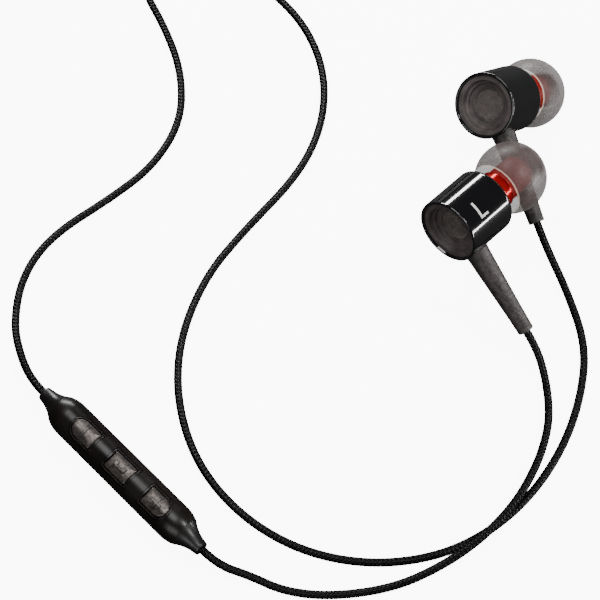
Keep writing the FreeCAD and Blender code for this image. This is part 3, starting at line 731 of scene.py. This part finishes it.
def wire_tree():
    """A round piece of plain-woven wire mesh, lying in the YZ plane."""
    sizes = [(label, "Float") for label in ("Radius", "Spacing", "Wire")]
    tree, given = new_tree("wire_mesh", sizes + [("Material", "Material")])
    num, _ = math_in(tree)
    across = num("MULTIPLY", given["Radius"], 2.0)
    count = num("FLOOR", num("DIVIDE", across, given["Spacing"]))
    finer = num("MULTIPLY", count, 4.0)
    sets = []
    for way in (0, 1):
        row = add(tree, "GeometryNodeMeshLine", {"mode": "END_POINTS"}, Count=count)
        low = add(tree, "ShaderNodeCombineXYZ", Y=num("MULTIPLY", given["Radius"], -0.98))
        high = add(tree, "ShaderNodeCombineXYZ", Y=num("MULTIPLY", given["Radius"], 0.98))
        tree.links.new(low.outputs[0], row.inputs["Start Location"])
        tree.links.new(high.outputs[0], row.inputs["Offset"])
        wire = add(tree, "GeometryNodeCurvePrimitiveLine")
        foot = add(tree, "ShaderNodeCombineXYZ", Z=num("MULTIPLY", given["Radius"], -1.0))
        head = add(tree, "ShaderNodeCombineXYZ", Z=given["Radius"])
        tree.links.new(foot.outputs[0], wire.inputs[0])
        tree.links.new(head.outputs[0], wire.inputs[1])
        copies = add(tree, "GeometryNodeInstanceOnPoints", Points=row.outputs[0], Instance=wire.outputs[0])
        real = add(tree, "GeometryNodeRealizeInstances", i0=copies.outputs[0])
        fine = add(tree, "GeometryNodeResampleCurve", Curve=real.outputs[0], Count=finer)
        split = add(tree, "ShaderNodeSeparateXYZ", i0=add(tree, "GeometryNodeInputPosition").outputs[0])
        y, z = split.outputs[1], split.outputs[2]
        square = num("SUBTRACT", num("POWER", given["Radius"], 2.0), num("POWER", y, 2.0))
        half = num("SQRT", num("MAXIMUM", square, 0.0))
        fitted = num("MULTIPLY", z, num("DIVIDE", half, given["Radius"]))
        # each wire goes over and under in turn, half a wave on from its neighbour
        travelled = num("MULTIPLY", num("DIVIDE", fitted, given["Spacing"]), math.pi)
        neighbour = num("MULTIPLY", num("ROUND", num("DIVIDE", y, given["Spacing"])), math.pi)
        weave = num("SINE", num("ADD", travelled, neighbour))
        lift = num("MULTIPLY", num("MULTIPLY", weave, given["Wire"]), -0.5 if way else 0.5)
        place = add(tree, "ShaderNodeCombineXYZ", X=lift)
        tree.links.new(fitted if way else y, place.inputs[1])
        tree.links.new(y if way else fitted, place.inputs[2])
        moved = add(tree, "GeometryNodeSetPosition", Geometry=fine.outputs[0], Position=place.outputs[0])
        wire_r = num("MULTIPLY", given["Wire"], 0.5)
        section = add(tree, "GeometryNodeCurvePrimitiveCircle", Resolution=5, Radius=wire_r)
        sets.append(swept(tree, moved.outputs[0], section.outputs[0]))
    return painted_whole(tree, sets, given["Material"])


WIRE_TREE = wire_tree()


def woven_disc(name, radius, x, where, material, spacing=0.17):
    """Woven mesh at a place along a bud's axis. The tree works in mm, and the result is then placed."""
    seed = bpy.data.meshes.new("seed")
    values = {"Radius": radius, "Spacing": spacing, "Wire": WIRE_D, "Material": material}
    piece = grown(name, WIRE_TREE, seed, values)
    piece.data.transform(placed(where) @ Matrix.Translation((x, 0, 0)))
    return piece


def letter(name, text, where, angle):
    """A small printed side mark wrapped round the barrel."""
    curve = bpy.data.curves.new(name, "FONT")
    curve.body = text
    curve.size = INK_SIZE
    curve.align_x = "CENTER"
    curve.align_y = "CENTER"
    curve.extrude = INK_THICK / 2
    curve.resolution_u = 8
    source = bpy.data.objects.new(name, curve)
    bpy.context.collection.objects.link(source)
    mesh = bpy.data.meshes.new_from_object(source)
    bpy.data.objects.remove(source)
    bm = bmesh.new()
    bm.from_mesh(mesh)
    bpy.data.meshes.remove(mesh)
    long_edges = [e for e in bm.edges if e.calc_length() > 0.3]
    bmesh.ops.subdivide_edges(bm, edges=long_edges, cuts=5)
    bmesh.ops.triangulate(bm, faces=bm.faces)
    for vert in bm.verts:
        u, v, w = vert.co
        turn = math.radians(angle) + v / INK_R
        r = INK_R + w
        vert.co = (INK_X + u, r * math.sin(turn), r * math.cos(turn))
    return finished(name, bm, where, INK)


def stem_piece(name, where):
    """Rubber stem: a flared root on the barrel, a slight waist, and a rounded lip round the cord's hole."""
    outline = rounded(
        [
            (5.75, 0.0),
            (5.75, 2.26, 0.1),
            (6.9, 2.14),
            (10.0, 2.0),
            (14.0, 1.82),
            (18.5, 1.63),
            (22.5, 1.5),
            (22.85, 1.52, 0.1),
            (STEM_LENGTH, 1.44, 0.16),
            (STEM_LENGTH, 0.86, 0.08),
            (STEM_LENGTH - 0.7, 0.8),
            (STEM_LENGTH - 0.7, 0.0),
        ],
        4,
    )
    bm = bmesh.new()
    turn_outline(bm, outline, 64)
    down = Matrix.Translation((STEM_X, 0, 0)) @ Matrix.Rotation(math.radians(90), 4, "Y")
    bm.transform(down)
    return finished(name, bm, where, FINISHES["stem_rubber"])


def bud(side, where, mark_angle):
    """One bud's pieces by the CAD node that each stands for, and its side mark."""
    front = BARREL_LENGTH
    made = {}
    made["barrel"] = lathe(
        f"{side}_barrel_body",
        rounded(
            [
                (0.4, 5.4),
                (0.0, 5.62, 0.06),
                (0.0, 6.1, 0.25),
                (front - 1.0, 6.1, 0.35),
                (front - 0.12, 5.22, 0.2),
                (front, 4.9, 0.12),
                (front, 3.6, 0.06),
                (front - 1.2, 3.6),
                (front - 1.2, 5.4),
            ]
        ),
        where,
        FINISHES["barrel_lacquer"],
        256,
    )
    made["rear_cap"] = lathe(
        f"{side}_rear_dish",
        rounded(
            [
                (0.4, 5.4),
                (0.4, 4.62, 0.18),
                (1.3, 4.34, 0.12),
                (1.38, 3.98, 0.1),
                (1.95, 3.85, 0.12),
                (2.0, 2.78, 0.05),
                (2.2, 2.75),
                (2.2, 0.0),
                (2.5, 0.0),
                (2.5, 4.1),
                (1.4, 4.8),
                (1.2, 4.8),
                (1.2, 5.4),
            ]
        ),
        where,
        FINISHES["cap_charcoal"],
        192,
    )
    made["vent_mesh"] = woven_disc(f"{side}_vent_weave", 2.74, 2.1, where, FINISHES["vent_mesh"])
    made["bezel"] = lathe(
        f"{side}_dish_ring",
        rounded([(1.85, 2.95, 0.05), (1.85, 3.25, 0.05), (2.0, 3.25), (2.0, 2.95)], 3),
        where,
        FINISHES["cap_charcoal"],
        128,
    )
    shoulder, end = front + 2.7, front + 6.3
    made["nozzle"] = lathe(
        f"{side}_nozzle_body",
        rounded(
            [
                (front - 1.6, 1.9),
                (front - 1.6, 4.4),
                (front - 1.2, 4.4),
                (front - 1.2, 3.6),
                (front + 0.25, 3.6, 0.05),
                (front + 0.35, 3.5, 0.04),
                (front + 0.45, 3.6, 0.05),
                (shoulder, 3.6, 0.22),
                (shoulder, 2.4, 0.05),
                (end - 1.2, 2.4, 0.1),
                (end - 0.7, 2.55, 0.15),
                (end - 0.2, 2.4, 0.05),
                (end, 2.25, 0.1),
                (end, 1.9, 0.05),
            ],
            4,
        ),
        where,
        FINISHES["nozzle_red"],
        128,
    )
    screen = FINISHES["screen_steel"]
    made["nozzle_screen"] = woven_disc(f"{side}_nozzle_weave", 1.88, end - 0.4, where, screen, 0.15)
    tip_r, skirt, apex = 6.5, 13.9, 24.0
    outer = arc_points(skirt, apex - 0.3, TIP_CENTRE, tip_r, 40)
    inner = arc_points(apex - 2.3, skirt + 0.12, TIP_CENTRE, tip_r - 0.5, 30)
    made["eartip"] = lathe(
        f"{side}_tip_skirt",
        outer
        + rounded([(apex - 0.02, 2.35), (apex - 0.05, 2.1), (apex - 0.3, 1.95)])
        + [(end + 0.6, 1.95), (end + 0.6, 2.65), (shoulder + 0.12, 2.65)]
        + [(shoulder + 0.12, 3.12), (shoulder + 0.22, 3.2)]
        + [(apex - 3.2, 3.2), (apex - 2.7, 3.3), (apex - 2.45, 3.6), (apex - 2.3, 4.0)]
        + [p for p in inner if p[1] > 4.0],
        where,
        FINISHES["eartip_silicone"],
        128,
        50.0,
    )
    made["stem"] = stem_piece(f"{side}_stem_body", where)
    mark = letter(f"{side}_side_mark", side[0].upper(), where, mark_angle)
    return made, mark


# --- the remote's keys ---
KEY_X = {"minus": -8.6, "centre": 0.7, "plus": 10.0}
KEY_HALF = (2.6, 1.75)
KEY_FOOT = 2.3
CROWN_R = 3.6
MARK_HALF = (1.1, 0.17)
# where a raised mark starts and ends over the crown, and how far its dark line reaches past it
MARK_FOOT, MARK_TOP = -0.1, 0.14
LINE_WIDTH = 0.13
# a key frame's section: how far outside the key, and how high over the crown
BEAD = ((0.22, -0.2), (0.22, -0.1), (0.27, -0.045), (0.34, -0.03), (0.41, -0.045), (0.46, -0.1), (0.46, -0.2))


def on_crown(y, lift=0.0):
    """The height of the remote's round top at y, for its keys."""
    return math.sqrt((CROWN_R + lift) ** 2 - y**2)


def key_outline(kind, grow=0.0):
    """A key's outline about its own middle: minus and plus have a round outer end, the centre is square."""
    a, b = KEY_HALF[0] + grow, KEY_HALF[1] + grow
    soft = 0.28 + grow
    outer = b if kind != "centre" else soft
    corners = [(a, b, soft, 0), (-a, b, outer, 90), (-a, -b, outer, 180), (a, -b, soft, 270)]
    points = []
    for x, y, radius, start in corners:
        cx, cy = x - math.copysign(radius, x), y - math.copysign(radius, y)
        for k in range(13):
            turn = math.radians(start + 90 * k / 12)
            points.append((cx + radius * math.cos(turn), cy + radius * math.sin(turn)))
    flip = -1 if kind == "plus" else 1
    return [(flip * x, flip * y) for x, y in points]


def stitched(bm, rings, cap_low, cap_high):
    """Joins equal rings of vertices one after another and closes the ends that are asked for."""
    for low, high in zip(rings, rings[1:]):
        for k in range(len(low)):
            n = (k + 1) % len(low)
            bm.faces.new((low[k], low[n], high[n], high[k]))
    if cap_low:
        bm.faces.new(rings[0][::-1])
    if cap_high:
        bm.faces.new(rings[-1])


def key_bar(bm, x, y, half_x, half_y, low, high, soft=0.03):
    """A small bar that follows the crown, with softened top edges."""
    steps = 10
    layers = [(0.0, low), (0.0, high - soft), (soft, high)]
    rings = []
    for inset, lift in layers:
        hx, hy = half_x - inset, half_y - inset
        near = [(hx, -hy + 2 * hy * k / steps) for k in range(steps + 1)]
        ring = near + [(-px, py) for px, py in near[::-1]]
        rings.append([bm.verts.new((x + px, y + py, on_crown(y + py, lift))) for px, py in ring])
    stitched(bm, rings, False, False)
    for ring, order in ((rings[0], -1), (rings[-1], 1)):
        for k in range(steps):
            quad = (ring[k], ring[k + 1], ring[-k - 2], ring[-k - 1])
            bm.faces.new(quad[::order])


def key_cap(kind):
    """A key cap with a crowned top, a skirt and a raised mark, and the dark line round that mark."""
    bm = bmesh.new()
    outline = key_outline(kind)
    # each ring's share of the outline, and its height over the crown; None is the skirt's foot
    levels = [(1.0, None), (1.0, -0.16), (0.985, -0.06), (0.955, -0.012)]
    levels += [(share, 0.0) for share in (0.9, 0.75, 0.55, 0.35, 0.15)]
    rings = []
    for share, lift in levels:
        ring = []
        for x, y in outline:
            px, py = x * share, y * share
            z = KEY_FOOT if lift is None else on_crown(py, lift)
            ring.append(bm.verts.new((KEY_X[kind] + px, py, z)))
        rings.append(ring)
    stitched(bm, rings, True, True)
    long, slim = MARK_HALF
    bars = {"minus": [(0, 0, slim, long)], "plus": [(0, 0, slim, long), (0, 0, long, slim)]}
    bars["centre"] = [(0, -0.25, long, slim), (-0.95, 0.05, 0.3, 0.42), (0.95, 0.05, 0.3, 0.42)]
    for x, y, half_x, half_y in bars[kind]:
        key_bar(bm, KEY_X[kind] + x, y, half_x, half_y, MARK_FOOT, MARK_TOP)
    cap = finished(f"key_cap_{kind}", bm, REMOTE, FINISHES["button_charcoal"], 30.0)
    bm = bmesh.new()
    for x, y, half_x, half_y in bars[kind]:
        grown_x, grown_y = half_x + LINE_WIDTH, half_y + LINE_WIDTH
        key_bar(bm, KEY_X[kind] + x, y, grown_x, grown_y, MARK_FOOT, 0.012, 0.004)
    line = finished(f"key_line_{kind}", bm, REMOTE, FINISHES["remote_housing"], 30.0)
    return cap, line


def key_frame(kind):
    """A fine raised bead on the housing round a key."""
    bm = bmesh.new()
    rings = []
    for grow, lift in BEAD:
        outline = key_outline(kind, grow)
        rings.append([bm.verts.new((KEY_X[kind] + x, y, on_crown(y, lift))) for x, y in outline])
    stitched(bm, rings + [rings[0]], False, False)
    return finished(f"key_frame_{kind}", bm, REMOTE, FINISHES["remote_housing"], 60.0)


pieces = {}
marks = {}
for side, where, mark_angle in (("left", LEFT_BUD, LEFT_MARK), ("right", RIGHT_BUD, RIGHT_MARK)):
    made, marks[side] = bud(side, where, mark_angle)
    for kind, piece in made.items():
        pieces[f"{side}_{kind}"] = piece


# --- the strap round the coil ---
STRAP_TURN = math.radians(200)
STRAP_HALF = 2.45
STRAP_THICK = 0.55
STRAP_CORNER = 1.5
# from the coil's axis to the strap's inner and outer side
STRAP_REACH = (4.42, 17.58)


def strap():
    """Hook-and-loop strap: one closed turn round the coil, with a shallow groove along each edge."""
    lo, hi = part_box("coil_tie")
    height = (hi[2] - lo[2]) / MM
    near, far = STRAP_REACH[0] + STRAP_CORNER, STRAP_REACH[1] - STRAP_CORNER
    low, high = STRAP_CORNER, height - STRAP_CORNER
    path = []
    for cx, cz, start in ((far, low, -90), (far, high, 0), (near, high, 90), (near, low, 180)):
        for k in range(9):
            turn = math.radians(start + 90 * k / 8)
            nx, nz = math.cos(turn), math.sin(turn)
            path.append((cx + STRAP_CORNER * nx, cz + STRAP_CORNER * nz, nx, nz))
    bm = bmesh.new()
    # across the strap and into it, in mm
    half, thick = STRAP_HALF, STRAP_THICK
    profile = [(-half, 0.0), (-half + 0.25, 0.12), (0.0, 0.0), (half - 0.25, 0.12), (half, 0.0)]
    profile += [(half, thick - 0.1), (half - 0.1, thick), (-half + 0.1, thick), (-half, thick - 0.1)]
    rings = [[bm.verts.new((px - nx * d, w, pz - nz * d)) for w, d in profile] for px, pz, nx, nz in path]
    stitched(bm, rings + [rings[0]], False, False)
    middle = Matrix.Translation((COIL_CENTRE[0], COIL_CENTRE[1], 0)) @ Matrix.Rotation(STRAP_TURN, 4, "Z")
    bm.transform(middle)
    return finished("coil_strap", bm, None, FINISHES["tie_fabric"])


# --- fitting the pieces to the frame ---
TIP_BODIES = {"left_eartip": "left_tip", "right_eartip": "right_tip"}


def stand_in(piece, node, body="set"):
    """A Blender piece takes the place of a CAD node."""
    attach(piece, body)
    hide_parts(node)


for node, piece in pieces.items():
    stand_in(piece, node, TIP_BODIES.get(node, "set"))
stand_in(strap(), "coil_tie")
for mark in marks.values():
    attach(mark, "set")
for kind in KEY_X:
    cap, line = key_cap(kind)
    stand_in(cap, f"remote_button_{kind}", f"key_{kind}")
    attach(line, f"key_{kind}")
    edge = key_frame(kind)
    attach(edge, "set")

# --- cords ---
BRAID = braid_tree()
# how much of its place round the cord each yarn fills
YARN_SHARE = 0.78


def braided(name, points, diameter, each_way, pitch, step, stands_for):
    """A braided cord along a route, in metres, in place of the CAD cords that it hides."""
    route, path = centreline(points)
    values = {
        "Radius": diameter * MM / 2,
        "Pitch": pitch * MM,
        "Each way": each_way,
        "Step": step * MM,
        "Yarn": YARN_SHARE * math.pi * diameter * MM / each_way,
        "Material": FINISHES["cord_braid"],
    }
    piece = grown(name, BRAID, route, values)
    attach(piece, "set")
    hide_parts(*stands_for)


lower = [stem_end(LEFT_BUD)] + LEFT_CORD_UPPER + [remote_end(1)]
upper = [remote_end(-1)] + LEFT_CORD_LOWER + [PORTS[0]]
loop = [stem_end(RIGHT_BUD)] + RIGHT_CORD + [PORTS[1]]
lead = [LEAD_START] + LEAD_IN + coil_points() + LEAD_OUT + [PLUG_END]
ends = ["plug_boot", "plug_handle", "plug_sleeve_contact", "plug_ring_contact_1", "plug_ring_contact_2"]
ends += ["plug_insulator", "plug_tip_contact", "coil_strap"]
braided("left_cord_first", lower, CORD_D, 8, 6.0, 0.25, ["left_cord_upper"])
braided("left_cord_second", upper, CORD_D, 8, 6.0, 0.25, ["left_cord_lower"])
braided("right_cord_whole", loop, CORD_D, 8, 6.0, 0.25, ["right_cord"])
braided("lead_whole", lead, LEAD_D, 6, 7.0, 0.55, ["lead_in", "lead_coil", "lead_out"])

# --- floor and light ---
bm = bmesh.new()
bmesh.ops.create_grid(bm, x_segments=8, y_segments=8, size=1500)
floor = finished("floor", bm, None, FLOOR)


LIGHT_AIM = Vector((0.02, 0.01, 0.01))


def softbox(name, direction, distance, size, radiance):
    """An area light seen from the object in a given direction. Size is width and height in metres."""
    light = bpy.data.lights.new(name, "AREA")
    light.shape = "RECTANGLE"
    light.size, light.size_y = size
    light.energy = radiance * math.pi * size[0] * size[1]
    lamp = bpy.data.objects.new(name, light)
    bpy.context.collection.objects.link(lamp)
    away = Vector(direction).normalized()
    lamp.location = LIGHT_AIM + away * distance
    lamp.rotation_euler = away.to_track_quat("Z", "Y").to_euler()


softbox("overhead", (-0.16, 0.15, 1), 1.0, (0.55, 0.55), 6.5)
softbox("fill_front", (-0.457, -0.761, 0.457), 0.9, (0.6, 0.45), 3.2)
softbox("key", (0.55, -0.1, 0.82), 0.7, (0.11, 0.2), 34.0)
softbox("strip_back", (-0.144, 0.930, 0.336), 0.75, (0.42, 0.085), 42.0)
softbox("strip_right", (0.985, -0.17, 0.07), 0.5, (0.5, 0.035), 46.0)
world = bpy.data.worlds.new("studio")
world.use_nodes = True
world.node_tree.nodes["Background"].inputs["Color"].default_value = (1, 1, 1, 1)
world.node_tree.nodes["Background"].inputs["Strength"].default_value = 0.06
bpy.context.scene.world = world
